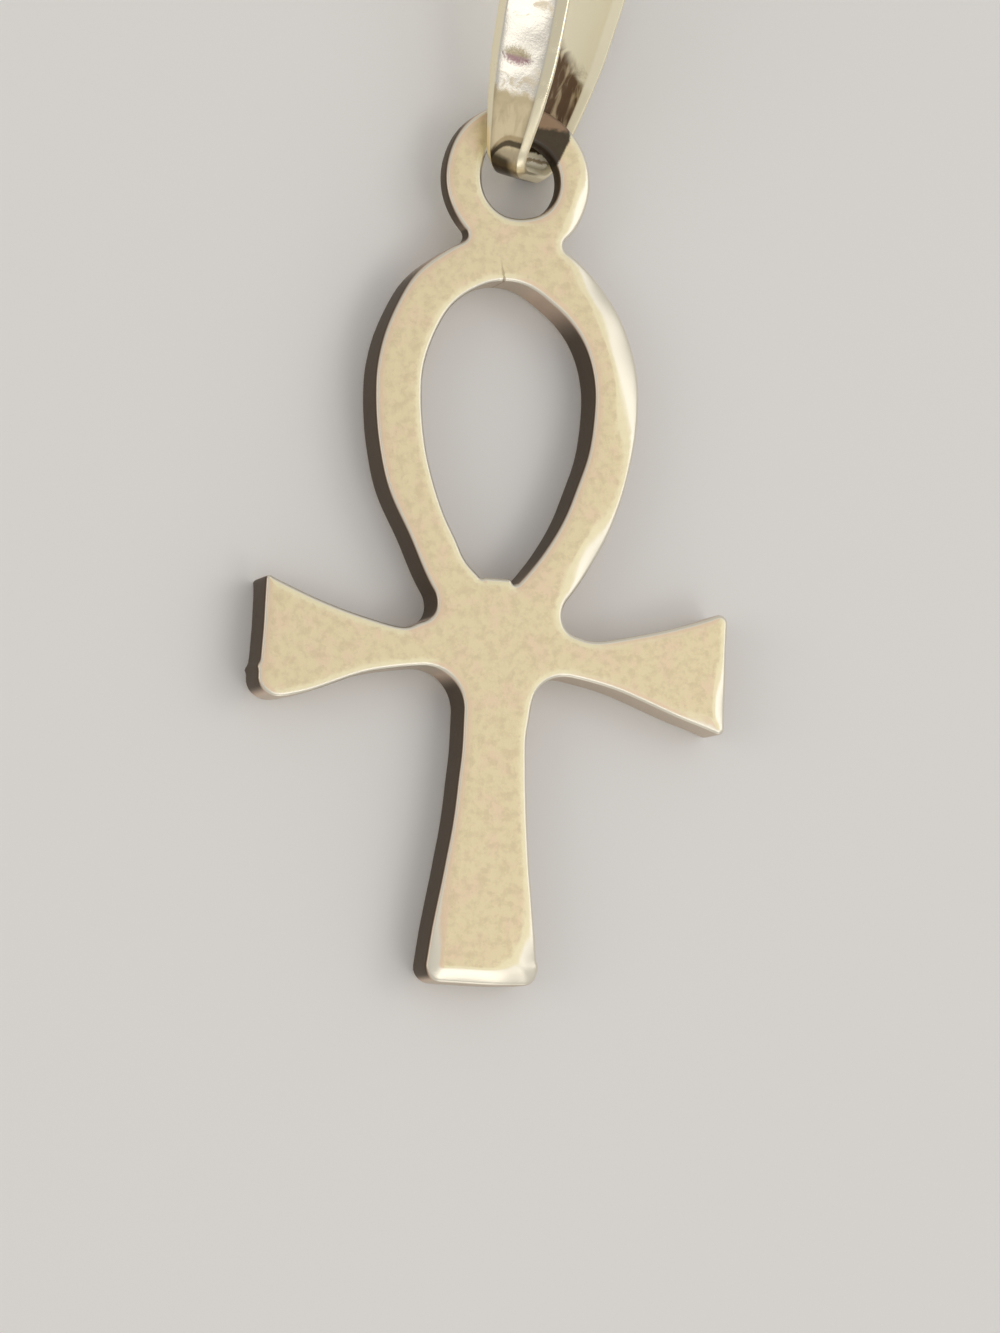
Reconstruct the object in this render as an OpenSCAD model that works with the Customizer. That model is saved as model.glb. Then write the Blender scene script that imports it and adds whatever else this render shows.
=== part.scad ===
// Ankh pendant on a tapered bail, lying on its front face with its back face up.
// Sizes are in millimetres. The shapes are worked out with the foot at y = 0, the front face on the floor at
// z = 0 and the eyelet towards +y, and are then moved along y to put the origin under their middle.

/* [Plate] */
// Thickness of the plate
plate_t = 1.5; // [1.2:0.05:2]
// Radius of the edges on the back face
back_edge_r = 0.22; // [0.1:0.02:0.3]
// Radius of the edges on the front face
front_edge_r = 0.35; // [0.1:0.05:0.5]
// Radius of the corners at the ends of the arms and the stem
tip_r = 0.25; // [0.1:0.05:0.35]

/* [Stem] */
// Width of the foot
foot_w = 3.46; // [3:0.1:4]
// Width of the stem where it is narrowest
stem_neck_w = 1.9; // [1.6:0.1:2.2]
// Height of the narrowest place above the foot
stem_neck_y = 8.5; // [8:0.1:9]
// Radius in the corners between the stem and the arms
stem_fillet_r = 1.15; // [0.6:0.05:1.3]

/* [Arms] */
// Span of the two arms
arm_span = 13.9; // [12:0.2:16]
// Height of the arms' middle line above the foot
arm_y = 9.3; // [9:0.1:10]
// Height of an arm at its end
arm_end_h = 3.62; // [3:0.1:4.2]
// Height of an arm at its root
arm_root_h = 0.74; // [0.6:0.02:1]
// Distance of that root from the middle
arm_root_x = 0.4; // [0:0.1:1]
// Radius in the corners between the arms and the loop
loop_fillet_r = 0.75; // [0.4:0.05:0.9]

/* [Loop] */
// Width of the band that makes the loop
band_w = 1.4; // [1.1:0.1:1.6]
// Width of the loop's opening
loop_open_w = 5.2; // [4.6:0.1:5.8]
// Height of the opening's widest place above the foot
loop_wide_y = 16.85; // [16:0.1:18]
// Inner radius of the long sides below the widest place
loop_side_r = 8.2; // [7.8:0.1:9]
// Inner radius of the shoulders above the widest place
loop_shoulder_r = 3.48; // [3.2:0.04:3.8]
// Inner radius at the top of the opening
loop_top_r = 1.9; // [1.6:0.1:2.2]
// Height of the opening's lower end above the foot
loop_foot_y = 11.47; // [11.3:0.05:11.8]
// Rise of the small bump across the opening's lower end
loop_foot_rise = 0.18; // [0:0.02:0.2]

/* [Eyelet] */
// Outer diameter of the eyelet
eyelet_d = 4.4; // [4:0.1:5]
// Diameter of its hole
eyelet_hole_d = 2.35; // [2.3:0.05:2.7]
// Distance of the hole to the side of the eyelet's middle
eyelet_hole_x = 0.08; // [0:0.02:0.1]
// Thickness of the eyelet, which is flush with the back face
eyelet_t = 0.6; // [0.5:0.05:0.8]
// How far the eyelet's outer edge sinks into the top of the loop
eyelet_sink = 0.63; // [0.4:0.01:0.8]
// Radius of the eyelet's edges
eyelet_edge_r = 0.16; // [0.05:0.01:0.2]
// Radius in the corners between the eyelet and the loop
waist_fillet_r = 0.25; // [0.15:0.05:0.4]

/* [Bail] */
// Length of the bail from end to end
bail_l = 8.4; // [7.8:0.1:9.5]
// Thickness of its ribbon at the middle
ribbon_t = 0.4; // [0.3:0.02:0.5]
// How much thinner the ribbon is at its edges
ribbon_crown = 0.12; // [0:0.02:0.16]
// Bevel along the edges of the ribbon
ribbon_bevel = 0.07; // [0.03:0.01:0.12]
// Width of the ribbon inside the eyelet
ribbon_low_w = 1; // [0.8:0.05:1.05]
// Length over which the ribbon widens
ribbon_widen_l = 4.4; // [4:0.2:5.4]
// Width of the ribbon over the upper half of the bail
ribbon_high_w = 2.1; // [1.9:0.1:2.5]
// Inner radius of the bail's round upper end
bail_top_r = 2; // [1.8:0.05:2.1]
// Inner radius of the two bends inside the eyelet
bail_bend_r = 0.5; // [0.3:0.05:0.6]
// Clearance between the bail's legs and the eyelet
bail_clearance = 0.04; // [0.03:0.01:0.1]
// Turn of the bail about its own length
bail_twist = 38; // [30:1:42]
// Lift of the bail's upper end
bail_pitch = 14; // [10:1:15]
// Lean of the bail to the side
bail_lean = 8; // [5:1:11]
// Height of the bail's lower end above the middle of the eyelet
bail_seat_y = 0.13; // [0.05:0.01:0.16]
// Height of the bail's middle line over the middle of the eyelet's thickness
bail_seat_z = 0.17; // [0.12:0.01:0.22]
// Distance of the bail's lower end to the side of the middle
bail_seat_x = 0.1; // [0.06:0.02:0.16]

/* [Hidden] */
edge_steps = 3;
arc_steps = 8;
rim_steps = 4;
round_steps = 96;
least_edge_r = 0.02;
gold_pale = "#d9c48e";
gold_bright = "#e6cf8c";

// Two circles meet here, on the left of the way from the first centre to the second when side is 1
function meet(c1, r1, c2, r2, side) =
    let (d = norm(c2 - c1), u = (c2 - c1) / d, a = (d * d + r1 * r1 - r2 * r2) / (2 * d))
    c1 + a * u + side * sqrt(r1 * r1 - a * a) * [-u.y, u.x];
// The point of a circle that is nearest to another point
function toward(c, r, p) = c + r * (p - c) / norm(p - c);
// Radius of the arc that leaves a straight line and has come away from it by rise after run
function arc_radius(run, rise) = (run * run + rise * rise) / (2 * rise);
// How far an arc of radius r has come away from its tangent after run
function sag(r, run) = r - sqrt(r * r - run * run);
// Values from one number to another, in equal steps
function spread(from, to, steps) = [for (i = [0:steps]) from + (to - from) * i / steps];

// Cross-section of a bar: a rectangle from low to high and from base to top, with round corners
function section(low, high, base, top, inset = 0, rf = front_edge_r, rb = back_edge_r) =
    let (f = max(rf - inset, least_edge_r), b = max(rb - inset, least_edge_r),
         l = low + inset, h = high - inset, lo = base + inset, hi = top - inset,
         corners = [[h - b, hi - b, b, 0], [l + b, hi - b, b, 90],
                    [l + f, lo + f, f, 180], [h - f, lo + f, f, 270]])
    [for (c = corners, a = spread(c[3], c[3] + 90, edge_steps)) [c[0] + c[2] * cos(a), c[1] + c[2] * sin(a)]];

// Solid through a row of rings that have the same number of points, open with flat ends or closed on itself
module loft(rings, closed = false) {
    n = len(rings[0]);
    last = len(rings) - 1;
    sides = [for (i = [0:closed ? last : last - 1], j = [0:n - 1])
        let (this = i * n, next = (i + 1) % len(rings) * n, k = (j + 1) % n)
        each [[this + j, next + j, this + k], [this + k, next + j, next + k]]];
    ends = closed ? [] : [[for (j = [0:n - 1]) j], [for (j = [n - 1:-1:0]) last * n + j]];
    polyhedron([for (r = rings, p = r) p], concat(sides, ends));
}

// Stem: its sides are arcs that are nearest to each other at the neck
stem_r = arc_radius(stem_neck_y, (foot_w - stem_neck_w) / 2);
function stem_half(y) = stem_neck_w / 2 + sag(stem_r, stem_neck_y - y);

// Arms: their edges are arcs that are nearest to each other at the root
arm_end_x = arm_span / 2;
arm_r = arc_radius(arm_end_x - arm_root_x, (arm_end_h - arm_root_h) / 2);
function arm_half(x) = arm_root_h / 2 + sag(arm_r, x - arm_root_x);
arm_centre_h = arm_root_h / 2 + arm_r;

// Loop: arcs for the long side, the shoulder and the top, which run into each other without a corner
side_centre = [loop_open_w / 2 - loop_side_r, loop_wide_y];
shoulder_centre = [loop_open_w / 2 - loop_shoulder_r, loop_wide_y];
shoulder_angle = acos(-shoulder_centre.x / (loop_shoulder_r - loop_top_r));
top_centre = [0, loop_wide_y + (loop_shoulder_r - loop_top_r) * sin(shoulder_angle)];
loop_top_y = top_centre.y + loop_top_r + band_w;
// Direction from the sides' centre in which the band stops, inside the crossing
loop_end_angle = -46;

// Fillets under and over the arms, each touching the two arcs that it joins
low_fillet = meet([stem_neck_w / 2 + stem_r, stem_neck_y], stem_r - stem_fillet_r,
                  [arm_root_x, arm_y - arm_centre_h], arm_r - stem_fillet_r, -1);
up_fillet = meet(side_centre, loop_side_r + band_w + loop_fillet_r,
                 [arm_root_x, arm_y + arm_centre_h], arm_r - loop_fillet_r, -1);
low_touch_x = toward([arm_root_x, arm_y - arm_centre_h], arm_r, low_fillet).x;
up_touch_x = toward([arm_root_x, arm_y + arm_centre_h], arm_r, up_fillet).x;
loop_touch_y = toward(side_centre, loop_side_r + band_w, up_fillet).y;
low_root_x = low_fillet.x - stem_fillet_r;
up_root_x = up_fillet.x - loop_fillet_r;
function arm_low(x) = x < low_root_x ? low_fillet.y
    : x < low_touch_x ? low_fillet.y + sqrt(max(0, pow(stem_fillet_r, 2) - pow(x - low_fillet.x, 2)))
    : arm_y - arm_half(x);
function arm_high(x) = x < up_root_x ? loop_touch_y
    : x < up_touch_x ? up_fillet.y - sqrt(max(0, pow(loop_fillet_r, 2) - pow(x - up_fillet.x, 2)))
    : arm_y + arm_half(x);

// Eyelet, whose fillets touch the loop's outer edge and its own
eyelet_y = loop_top_y - eyelet_sink + eyelet_d / 2;
eyelet_base = plate_t - eyelet_t;
waist = meet(top_centre, loop_top_r + band_w + waist_fillet_r,
             [0, eyelet_y], eyelet_d / 2 + waist_fillet_r, -1);
waist_low_y = toward(top_centre, loop_top_r + band_w, waist).y;
waist_high_y = toward([0, eyelet_y], eyelet_d / 2, waist).y;
function waist_half(y) = let (t = min(max(y, waist_low_y), waist_high_y) - waist.y)
    waist.x - sqrt(pow(waist_fillet_r, 2) - t * t);

// Bail, in its own frame: its length along y from its lower end, its width along x, its depth along z
function ribbon_half(y) = (ribbon_low_w + (ribbon_high_w - ribbon_low_w)
    * sin(90 * min(1, y / ribbon_widen_l))) / 2;
// The legs pass the eyelet here, and their gap clears it although the bail is turned
crossing_y = (eyelet_d + eyelet_hole_d) / 4 - bail_seat_y;
crossing_rise = (eyelet_d - eyelet_hole_d) / 4 * tan(bail_pitch);
leg_gap = (eyelet_t / 2 + bail_clearance + crossing_rise + ribbon_half(crossing_y) * sin(bail_twist))
    / cos(bail_twist);
bend_centre_y = ribbon_t + bail_bend_r;
top_centre_y = bail_l - ribbon_t - bail_top_r;
// Direction across a leg, found so that the leg touches the round upper end and passes the eyelet at its gap
leg_angle = -asin((bail_top_r - leg_gap) / (top_centre_y - crossing_y));
bend_centre_z = (bail_top_r - bail_bend_r + (top_centre_y - bend_centre_y) * sin(leg_angle)) / cos(leg_angle);
// Half of the ribbon's inner line as [z, y, direction across it], from the lower end to the upper end
bail_line = concat(
    [[0, ribbon_t, -90]],
    [for (a = spread(-90, leg_angle, 5))
        [bend_centre_z + bail_bend_r * cos(a), bend_centre_y + bail_bend_r * sin(a), a]],
    [for (k = spread(0.1, 0.9, arc_steps))
        let (u = [cos(leg_angle), sin(leg_angle)], from = [bend_centre_z, bend_centre_y] + bail_bend_r * u,
             to = [0, top_centre_y] + bail_top_r * u, p = from + k * (to - from))
        [p.x, p.y, leg_angle]],
    [for (a = spread(leg_angle, 90, 10)) [bail_top_r * cos(a), top_centre_y + bail_top_r * sin(a), a]]);
bail_round = concat(bail_line, [for (i = [len(bail_line) - 2:-1:1])
    [-bail_line[i][0], bail_line[i][1], 180 - bail_line[i][2]]]);
// Cross-section of the ribbon as shares of its half width and its thickness, flat inside and crowned outside
ribbon_edge_t = ribbon_t - ribbon_crown;
function ribbon_ring(q) =
    let (half = ribbon_half(q[1]), across = [0, sin(q[2]), cos(q[2])])
    [for (s = [[half - ribbon_bevel, 0], [half, ribbon_bevel], [half, ribbon_edge_t - ribbon_bevel],
               [half - ribbon_bevel, ribbon_edge_t], [half / 2, ribbon_t - ribbon_crown / 3], [0, ribbon_t],
               [-half / 2, ribbon_t - ribbon_crown / 3], [ribbon_bevel - half, ribbon_edge_t],
               [-half, ribbon_edge_t - ribbon_bevel], [-half, ribbon_bevel], [ribbon_bevel - half, 0]])
        [-s[0], q[1], q[0]] + s[1] * across];

// Place of the bail on the pendant: it is turned, lifted and leaned, with its legs' gap round the eyelet
bail_at = [bail_seat_x, eyelet_y + bail_seat_y,
           plate_t - eyelet_t / 2 - crossing_y * sin(bail_pitch) + bail_seat_z];
function turn_y(p, a) = [p.x * cos(a) + p.z * sin(a), p.y, p.z * cos(a) - p.x * sin(a)];
function turn_x(p, a) = [p.x, p.y * cos(a) - p.z * sin(a), p.y * sin(a) + p.z * cos(a)];
function turn_z(p, a) = [p.x * cos(a) - p.y * sin(a), p.x * sin(a) + p.y * cos(a), p.z];
// The edge that would reach below the floor is flat there
function above_floor(p) = [p.x, p.y, max(p.z, 0)];
bail_rings = [for (q = bail_round) [for (p = ribbon_ring(q))
    above_floor(bail_at + turn_z(turn_x(turn_y(p, -bail_twist), bail_pitch), -bail_lean))]];

// Puts the origin halfway between the foot and the far end of the bail
module centre() {
    far_y = max([for (r = bail_rings, p = r) p.y]);
    translate([0, -far_y / 2, 0])
        children();
}

// One bar from the end of one arm to the end of the other
module arms() {
    tips = [for (a = spread(0, 90, edge_steps)) [arm_end_x - tip_r + tip_r * sin(a), tip_r * (1 - cos(a))]];
    roots = concat([for (a = spread(0, 90, arc_steps)) low_fillet.x - stem_fillet_r * cos(a)],
                   [for (a = spread(0, 75, 5)) up_fillet.x - loop_fillet_r * cos(a)],
                   [up_root_x - least_edge_r, up_touch_x],
                   spread(low_touch_x + tip_r, arm_end_x - 2 * tip_r, arc_steps));
    half = concat([for (x = sorted(roots)) [x, 0]], tips);
    loft([for (s = concat([for (i = [len(half) - 1:-1:0]) [-half[i][0], half[i][1]]], half))
        let (x = abs(s[0]))
        [for (p = section(arm_low(x), arm_high(x), 0, plate_t, s[1])) [s[0], p[0], p[1]]]]);
}
// Numbers in rising order
function sorted(v) = len(v) < 2 ? v
    : let (m = v[floor(len(v) / 2)])
      concat(sorted([for (x = v) if (x < m) x]), [m], sorted([for (x = v) if (x > m) x]));

module stem() {
    foot = [for (a = spread(90, 0, edge_steps)) [tip_r - tip_r * sin(a), tip_r * (1 - cos(a))]];
    shaft = [for (y = spread(tip_r, arm_y, arc_steps)) if (y > tip_r) [y, 0]];
    loft([for (s = concat(foot, shaft))
        [for (p = section(-stem_half(s[0]), stem_half(s[0]), 0, plate_t, s[1])) [-p[0], s[0], p[1]]]]);
}

// The loop's band, from inside the crossing up over the top and down again
module loop_band() {
    half = concat([for (a = spread(loop_end_angle, 0, arc_steps)) [side_centre, loop_side_r, a]],
                  [for (a = spread(0, shoulder_angle, arc_steps)) if (a > 0)
                      [shoulder_centre, loop_shoulder_r, a]],
                  [for (a = spread(shoulder_angle, 90, 5)) if (a > shoulder_angle)
                      [top_centre, loop_top_r, a]]);
    right = [for (s = half) [for (p = section(0, band_w, 0, plate_t))
        [s[0].x + (s[1] + band_w - p[0]) * cos(s[2]), s[0].y + (s[1] + band_w - p[0]) * sin(s[2]), p[1]]]];
    left = [for (i = [len(half) - 2:-1:0]) [for (p = right[i]) [-p.x, p.y, p.z]]];
    loft(concat(right, left));
}

// Closes the lower end of the loop's opening with a low bump
module loop_foot() {
    reach = band_w * 0.7;
    loft([for (x = spread(-reach, reach, arc_steps))
        let (high = loop_foot_y - loop_foot_rise * pow(x / reach, 2))
        [for (p = section(arm_y, high, 0, plate_t)) [x, p[0], p[1]]]]);
}

// Profile of the eyelet, turned in at its edges, or of its hole, which flares and runs out past both faces
function rim(r, turn) =
    let (e = eyelet_edge_r, out = max(0, turn))
    concat([[0, eyelet_base - out]],
           [for (a = spread(-90, 0, rim_steps)) [r + turn * e * (1 - cos(a)), eyelet_base + e * (1 + sin(a))]],
           [for (a = spread(0, 90, rim_steps)) [r + turn * e * (1 - cos(a)), plate_t - e * (1 - sin(a))]],
           [[0, plate_t + out]]);

// Flat eyelet with the neck that carries it on the loop
module eyelet() {
    neck = concat([loop_top_y - band_w / 2], spread(waist_low_y, waist_high_y, arc_steps),
                  [(waist_high_y + eyelet_y - eyelet_hole_d / 2) / 2]);
    difference() {
        union() {
            translate([0, eyelet_y, 0])
                rotate_extrude($fn = round_steps) polygon(rim(eyelet_d / 2, -1));
            loft([for (y = neck) let (w = waist_half(y))
                [for (p = section(-w, w, eyelet_base, plate_t, 0, eyelet_edge_r)) [-p[0], y, p[1]]]]);
        }
        translate([eyelet_hole_x, eyelet_y, 0])
            rotate_extrude($fn = round_steps) polygon(rim(eyelet_hole_d / 2, 1));
    }
}

module ankh_plate() {
    color(gold_pale) centre() {
        arms();
        stem();
        loop_band();
        loop_foot();
        eyelet();
    }
}

module bail() {
    color(gold_bright) centre() loft(bail_rings, closed = true);
}

ankh_plate();
bail();
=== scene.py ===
import math

import bmesh
import bpy
import numpy as np
from mathutils import Matrix, Vector, kdtree, noise
from mathutils.geometry import delaunay_2d_cdt


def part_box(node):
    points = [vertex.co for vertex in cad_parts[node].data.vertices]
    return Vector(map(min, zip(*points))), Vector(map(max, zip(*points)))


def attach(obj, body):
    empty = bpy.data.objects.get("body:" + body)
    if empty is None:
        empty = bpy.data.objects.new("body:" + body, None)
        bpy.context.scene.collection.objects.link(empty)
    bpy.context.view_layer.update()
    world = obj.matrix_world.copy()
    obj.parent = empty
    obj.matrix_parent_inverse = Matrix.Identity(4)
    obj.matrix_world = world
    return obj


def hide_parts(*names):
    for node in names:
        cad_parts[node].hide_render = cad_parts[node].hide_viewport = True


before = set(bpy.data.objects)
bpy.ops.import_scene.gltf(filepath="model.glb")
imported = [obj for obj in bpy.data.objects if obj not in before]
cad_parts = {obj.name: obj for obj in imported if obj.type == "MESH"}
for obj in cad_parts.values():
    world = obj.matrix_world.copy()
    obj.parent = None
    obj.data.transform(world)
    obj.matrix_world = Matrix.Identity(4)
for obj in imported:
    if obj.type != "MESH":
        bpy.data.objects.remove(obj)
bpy.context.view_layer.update()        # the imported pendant: the plate and the bail, both on one body

# All sizes below are in millimetres, with the foot at y = 0 and the floor at z = 0
mm = 0.001
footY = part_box("ankh_plate")[0].y / mm        # where the foot lies in the frame


class Wire:        # an output socket that takes part in Python maths
    def __init__(self, graph, socket):
        self.graph = graph
        self.socket = socket

    def maths(self, operation, *values):
        sockets = dict(enumerate(values))
        return self.graph.node("ShaderNodeMath", {"operation": operation}, sockets)

    def __add__(self, other):
        return self.maths("ADD", self, other)

    def __sub__(self, other):
        return self.maths("SUBTRACT", self, other)

    def __rsub__(self, other):
        return self.maths("SUBTRACT", other, self)

    def __mul__(self, other):
        return self.maths("MULTIPLY", self, other)

    def __truediv__(self, other):
        return self.maths("DIVIDE", self, other)

    def __rtruediv__(self, other):
        return self.maths("DIVIDE", other, self)

    def __pow__(self, other):
        return self.maths("POWER", self, other)

    def __abs__(self):
        return self.maths("ABSOLUTE", self)

    def sign(self):
        return self.maths("SIGN", self)

    def sine(self):
        return self.maths("SINE", self)

    def least(self, other):        # the smaller of the two
        return self.maths("MINIMUM", self, other)

    def most(self, other):        # the larger of the two
        return self.maths("MAXIMUM", self, other)

    __radd__ = __add__
    __rmul__ = __mul__


class Graph:        # a node tree, whose nodes are all added here
    def __init__(self, tree):
        self.tree = tree

    def node(self, kind, settings={}, sockets={}, out=0):
        made = self.tree.nodes.new(kind)
        for name, value in settings.items():
            setattr(made, name, value)
        for name, value in sockets.items():
            if isinstance(value, Wire):
                self.tree.links.new(value.socket, made.inputs[name])
            else:
                made.inputs[name].default_value = value
        return Wire(self, made.outputs[out]) if len(made.outputs) else made

    def smooth(self, value, low, high):        # eases from 0 at low to 1 at high
        return self.node("ShaderNodeMapRange", {"interpolation_type": "SMOOTHSTEP"},
                         {0: value, 1: low, 2: high})

    def noise(self, place, size, detail=2.0, roughness=0.5, distortion=0.0):        # size in mm
        return self.node("ShaderNodeTexNoise", {}, {
            "Vector": place, "Scale": 1 / (size * mm), "Detail": detail,
            "Roughness": roughness, "Distortion": distortion})

    def mix(self, share, first, second):        # two colours
        return self.node("ShaderNodeMix", {"data_type": "RGBA"}, {0: share, 6: first, 7: second}, out=2)

    def blend(self, share, first, second):        # two numbers
        return first * (1 - share) + second * share

    def split(self, vector, axis):
        return self.node("ShaderNodeSeparateXYZ", {}, {0: vector}, out=axis)


# The plate: its outline is made of arcs that run into each other.
# The metal lies on the left of the way round.

plate = {
    "thickness": 1.5, "backEdge": 0.1, "frontEdge": 0.35,
    "footWidth": 3.46, "neckWidth": 1.9, "neckY": 8.5, "stemFillet": 1.15,
    "armSpan": 13.9, "armY": 9.3, "armEndHeight": 3.62, "armRootHeight": 0.74, "armRootX": 0.4,
    "band": 1.4, "openWidth": 5.2, "wideY": 16.85, "loopFillet": 0.75,
    "sideRadius": 8.2, "shoulderRadius": 3.48, "topRadius": 1.9,
    "openFootY": 11.5, "rightFootDrop": 0.14, "leftFootDrop": 0.04, "openFootCorner": 0.12,
    "openFootSteps": 10, "dropFrom": 0.6, "dropLength": 0.35,        # shares of the way to the corner
    "eyelet": 4.4, "eyeletHole": 2.35, "eyeletHoleX": 0.08, "eyeletThickness": 0.6, "eyeletSink": 0.63,
    "eyeletEdge": 0.11, "waistFillet": 0.25,
    "rightCorners": {"foot": 0.4, "armLow": 0.14, "armHigh": 0.24},        # radii, with the back face up
    "leftCorners": {"foot": 0.4, "armLow": 0.48, "armHigh": 0.12},
    "unevenness": 0.012, "unevenLength": 1.1,        # how far the outline wavers, and over what length
    "wornWidth": 0.42, "leastDrop": 0.02,        # of the wear along every edge of the back face
    "wearPower": 1.15,        # how hollow the slopes of wear are, 1 being straight
    "pointSpacing": 0.07, "backSpacing": 0.1, "frontSpacing": 0.35, "edgeSteps": 7,
}

# Where the outline strays, as cast and filed by hand.
# It bulges by out, or falls short where out is less than 0.
strays = [
    {"x": -6.95, "y": 8.47, "reach": 0.1, "out": 0.06},
    {"x": -6.95, "y": 8.1, "reach": 0.4, "out": 0.05},
    {"x": 1.72, "y": 0.56, "reach": 0.1, "out": 0.1},
    {"x": -0.47, "y": 11.5, "reach": 0.08, "out": 0.05},
    {"x": 0.0, "y": 0.0, "reach": 1.1, "out": 0.05},
    {"x": -1.47, "y": 1.5, "reach": 1.5, "out": 0.13},
    {"x": -1.25, "y": 3.3, "reach": 1.0, "out": 0.04},
    {"x": -0.98, "y": 6.7, "reach": 0.8, "out": -0.03},
    {"x": 1.0, "y": 7.8, "reach": 0.6, "out": 0.11},
    {"x": -5.5, "y": 8.05, "reach": 1.3, "out": 0.2},
    {"x": 5.6, "y": 8.05, "reach": 1.2, "out": 0.15},
    {"x": 4.2, "y": 8.45, "reach": 0.8, "out": 0.04},
    {"x": -2.35, "y": 9.95, "reach": 0.4, "out": 0.15},
    {"x": 2.45, "y": 9.93, "reach": 0.4, "out": 0.11},
    {"x": 4.2, "y": 10.14, "reach": 1.4, "out": 0.05},
    {"x": -2.9, "y": 12.4, "reach": 1.1, "out": -0.15},
    {"x": 3.8, "y": 15.0, "reach": 1.2, "out": -0.045},
    {"x": -2.9, "y": 19.9, "reach": 1.0, "out": 0.085},
    {"x": 1.1, "y": 19.65, "reach": 0.9, "out": 0.11},
    {"x": -1.7, "y": 19.2, "reach": 0.9, "out": -0.1},
    {"x": -1.0, "y": 12.0, "reach": 0.5, "out": -0.09},
    {"x": 2.15, "y": 14.2, "reach": 0.8, "out": 0.04},
    {"x": -0.8, "y": 23.8, "reach": 0.45, "out": -0.1},
    {"x": 0.3, "y": 21.9, "reach": 0.6, "out": 0.06},
]

# Where wear has made a slope along the outer edge of the back face, how wide it is and how deep
wornPlaces = [
    {"x": 2.8, "y": 20.2, "reach": 0.8, "width": 0.6, "drop": 0.09},
    {"x": 3.65, "y": 18.7, "reach": 1.3, "width": 0.8, "drop": 0.13},
    {"x": 4.0, "y": 17.0, "reach": 1.3, "width": 0.75, "drop": 0.08},
    {"x": 2.7, "y": 12.3, "reach": 1.1, "width": 0.6, "drop": 0.075},
    {"x": 1.5, "y": 0.2, "reach": 0.8, "width": 1.0, "drop": 0.17},
    {"x": -0.5, "y": 0.0, "reach": 1.7, "width": 0.45, "drop": 0.11},
    {"x": 6.9, "y": 8.3, "reach": 0.8, "width": 0.4, "drop": 0.06},
    {"x": 2.1, "y": 22.4, "reach": 0.8, "width": 0.5, "drop": 0.06},
]


def direction(angle):
    return Vector((math.cos(angle), math.sin(angle)))


def bearing(start, end):
    return math.atan2(end.y - start.y, end.x - start.x)


def meet(c1, r1, c2, r2, side):        # where two circles cross
    way = c2 - c1
    along = (way.length_squared + r1 * r1 - r2 * r2) / (2 * way.length)
    unit = way.normalized()
    return c1 + unit * along + Vector((-unit.y, unit.x)) * side * math.sqrt(r1 * r1 - along * along)


def arcRadius(run, rise):        # of the arc that has come away from its tangent by rise after run
    return (run * run + rise * rise) / (2 * rise)


def arc(centre, radius, start, end, spacing, turn=1):        # without its last point
    sweep = (end - start) % math.tau if turn > 0 else -((start - end) % math.tau)
    steps = max(2, math.ceil(abs(sweep) * radius / spacing))
    return [centre + direction(start + sweep * i / steps) * radius for i in range(steps)]


def roundHole(centre, radius, spacing):        # clockwise, with the metal round it
    steps = math.ceil(math.tau * radius / spacing)
    return [centre + direction(-math.tau * i / steps) * radius for i in range(steps)]


def line(start, end, spacing):        # without its last point
    steps = max(1, round((end - start).length / spacing))
    return [start.lerp(end, i / steps) for i in range(steps)]


def roundCorner(before, corner, after, radius):        # a small arc, with its last point
    back, ahead = (before - corner).normalized(), (after - corner).normalized()
    half = back.angle(ahead) / 2
    centre = corner + (back + ahead).normalized() * radius / math.sin(half)
    start = corner + back * radius / math.tan(half)
    end = corner + ahead * radius / math.tan(half)
    spacing = radius / 5
    return arc(centre, radius, bearing(centre, start), bearing(centre, end), spacing) + [end]


def plateCircles(p):        # centre and radius of each circle that the outline follows
    stemR = arcRadius(p["neckY"], (p["footWidth"] - p["neckWidth"]) / 2)
    armR = arcRadius(p["armSpan"] / 2 - p["armRootX"], (p["armEndHeight"] - p["armRootHeight"]) / 2)
    stem = Vector((p["neckWidth"] / 2 + stemR, p["neckY"]))
    armLow = Vector((p["armRootX"], p["armY"] - p["armRootHeight"] / 2 - armR))
    armHigh = Vector((p["armRootX"], p["armY"] + p["armRootHeight"] / 2 + armR))
    side = Vector((p["openWidth"] / 2 - p["sideRadius"], p["wideY"]))
    shoulder = Vector((p["openWidth"] / 2 - p["shoulderRadius"], p["wideY"]))
    shoulderAngle = math.acos(-shoulder.x / (p["shoulderRadius"] - p["topRadius"]))
    top = shoulder + direction(shoulderAngle) * (p["shoulderRadius"] - p["topRadius"])
    sideR, topR, eyeR = p["sideRadius"] + p["band"], p["topRadius"] + p["band"], p["eyelet"] / 2
    eye = Vector((0, top.y + topR - p["eyeletSink"] + eyeR))
    low = meet(stem, stemR - p["stemFillet"], armLow, armR - p["stemFillet"], -1)
    high = meet(side, sideR + p["loopFillet"], armHigh, armR - p["loopFillet"], -1)
    waist = meet(top, topR + p["waistFillet"], eye, eyeR + p["waistFillet"], -1)
    return {
        "stem": (stem, stemR), "lowFillet": (low, p["stemFillet"]), "armLow": (armLow, armR),
        "armHigh": (armHigh, armR), "highFillet": (high, p["loopFillet"]), "side": (side, sideR),
        "shoulder": (shoulder, p["shoulderRadius"] + p["band"]), "top": (top, topR),
        "waist": (waist, p["waistFillet"]), "eyelet": (eye, eyeR), "shoulderAngle": shoulderAngle,
    }


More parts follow.
